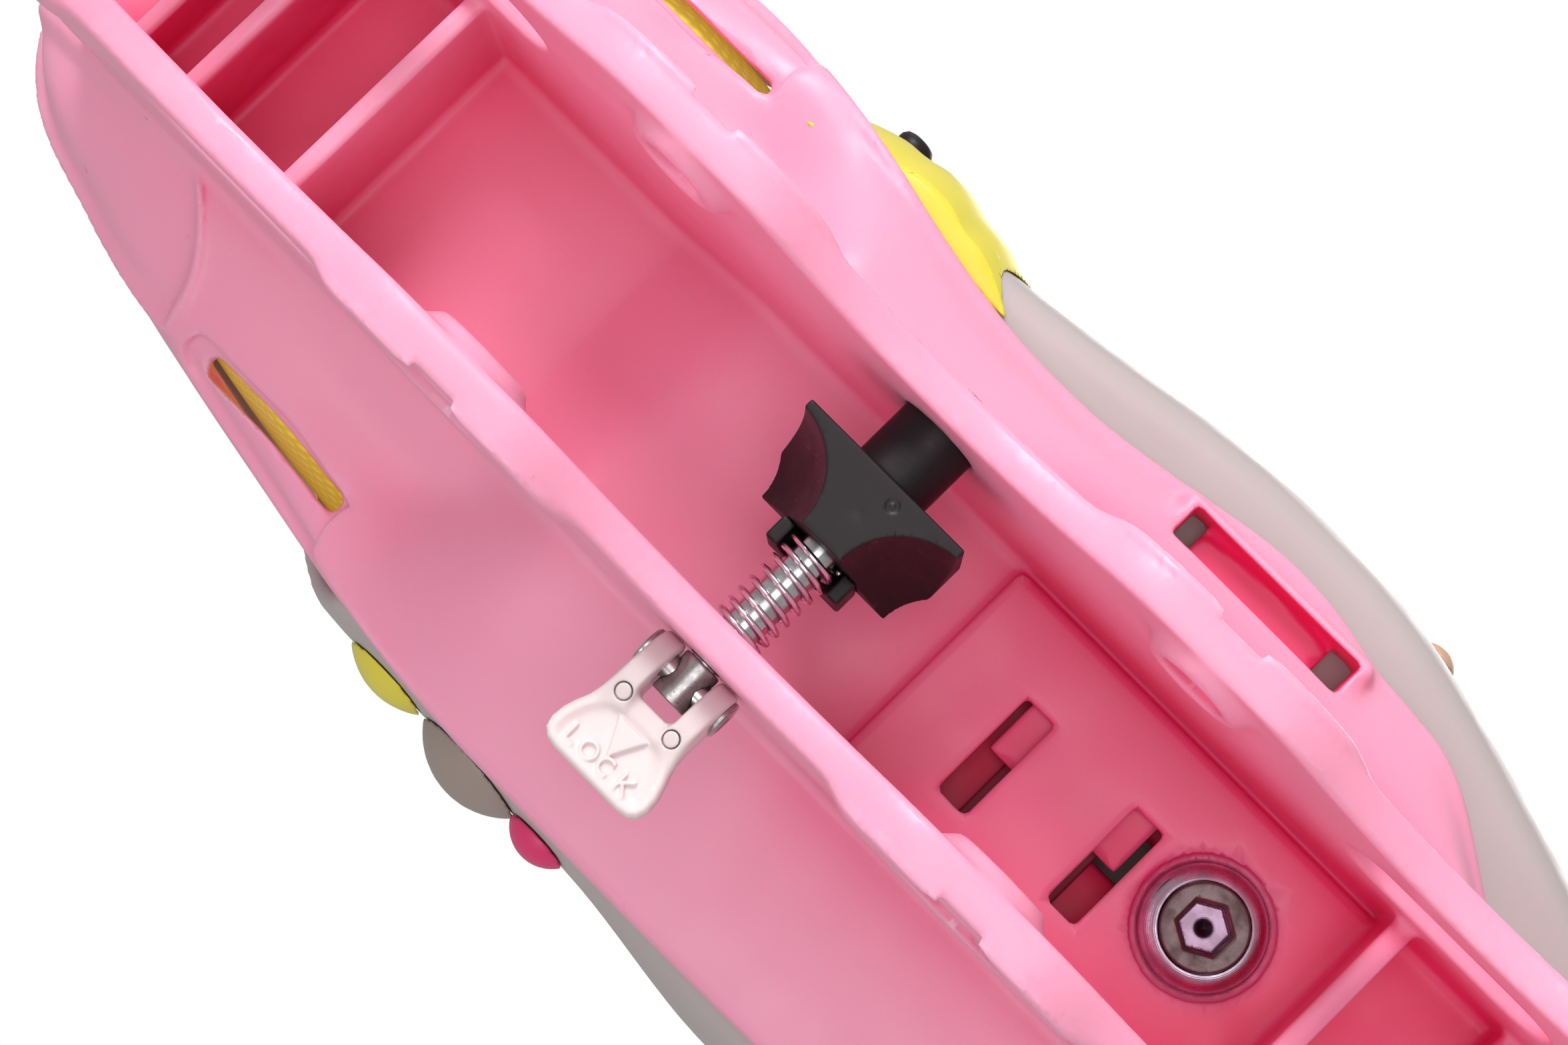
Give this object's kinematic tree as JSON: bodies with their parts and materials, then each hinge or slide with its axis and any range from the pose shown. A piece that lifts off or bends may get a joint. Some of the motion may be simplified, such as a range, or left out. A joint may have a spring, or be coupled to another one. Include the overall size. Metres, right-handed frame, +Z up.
{
  "type": "adjustable skate base with wheel lock",
  "caption": "Moulded children's skate, wheels off: sole, heel cup and rails in one base, toe shell that slides for size, and a lever-worked wheel lock.",
  "frame": {"origin": "centre of the second axle bore from the heel, midway between the rails", "axes": "+X to the toe, +Y to the lever side, +Z up from the wheels into the boot"},
  "size_m": [0.2496, 0.0971, 0.126],
  "materials": {
    "base_pink": "smooth moulded plastic, slightly translucent pink",
    "shell_white": "glossy pinkish grey-white plastic",
    "lever_white": "smooth pinkish white plastic",
    "lock_black": "matt black plastic",
    "steel": "plain zinc-plated steel",
    "bright_steel": "bright plated steel",
    "liner_yellow": "soft padded fabric",
    "insole_grey": "foam insole with a woven top",
    "ornament_yellow": "glossy plastic",
    "ornament_taupe": "glossy plastic",
    "ornament_magenta": "glossy plastic",
    "stud_tan": "glossy plastic"
  },
  "bodies": {
    "base": {"chassis": "base_pink", "latch_tongue": "base_pink", "index_plate": "steel", "liner": "liner_yellow", "insole": "insole_grey", "frame_bolt": "steel", "frame_washer": "bright_steel", "frame_nut": "steel", "lock_spring": "bright_steel"},
    "toe": {"toe_shell": "shell_white", "slide_plate": "base_pink", "badge_right": "ornament_yellow", "badge_right_dot": "lock_black", "badge_left_disc": "ornament_yellow", "badge_left_dome": "ornament_taupe", "badge_left_bead": "ornament_magenta", "toe_stud": "stud_tan"},
    "lock_carriage": {"lock_bolt": "steel", "lock_block": "lock_black", "spring_seat": "lock_black", "guide_pin": "lock_black", "lock_nut": "steel", "lever_barrel": "steel", "lever_pin": "steel"},
    "lever": {"lock_lever": "lever_white"}
  },
  "joints": [
    {"name": "toe_slide", "type": "slide", "parent": "base", "child": "toe", "axis": [1, 0, 0], "range_m": [0, 0.024]},
    {"name": "lock_slide", "type": "slide", "parent": "base", "child": "lock_carriage", "axis": [0, 1, 0], "range_m": [0, 0.0025], "deforming": ["lock_spring"]},
    {"name": "lever_turn", "type": "hinge", "parent": "lock_carriage", "child": "lever", "pos_m": [0.037, 0.022, 0.0133], "axis": [1, 0, 0], "range_deg": [0, 90]}
  ],
  "couplings": [
    {"joint": "lever_turn", "follows": "lock_slide", "rad_per_m": 628.32}
  ]
}
